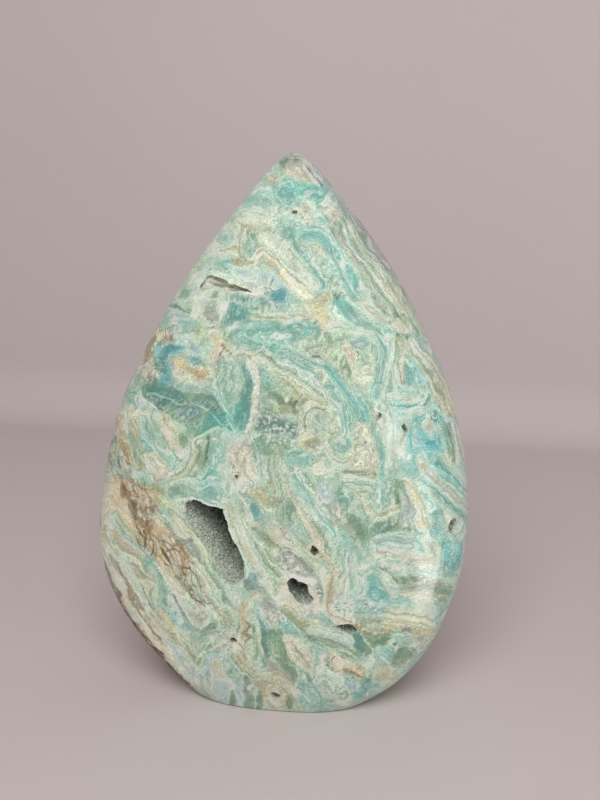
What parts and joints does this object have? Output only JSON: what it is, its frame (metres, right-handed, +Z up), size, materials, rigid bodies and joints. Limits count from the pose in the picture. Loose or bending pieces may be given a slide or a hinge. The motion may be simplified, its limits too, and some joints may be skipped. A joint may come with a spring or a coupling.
{
  "type": "polished aragonite flame",
  "caption": "Thick polished drop of banded blue-green aragonite with a rounded point, standing on a flat sawn foot, with druse-lined open pockets in its front.",
  "frame": {"origin": "in the plane of the flat foot, under the middle of the stone's width and thickness", "axes": "+Z up from the foot to the point, +Y along the thickness from the show face to the back, +X to the right as seen facing the show face"},
  "size_m": [0.1102, 0.055, 0.16],
  "materials": {
    "blue_aragonite": "polished, banded turquoise, pale green, cream and tan, with a rough brown natural skin low on the left",
    "grey_druse": "fine grey sparkling crystals"
  },
  "bodies": {
    "root": {"stone": "blue_aragonite", "large_pocket_druse": "grey_druse", "small_pocket_druse": "grey_druse"}
  },
  "joints": []
}
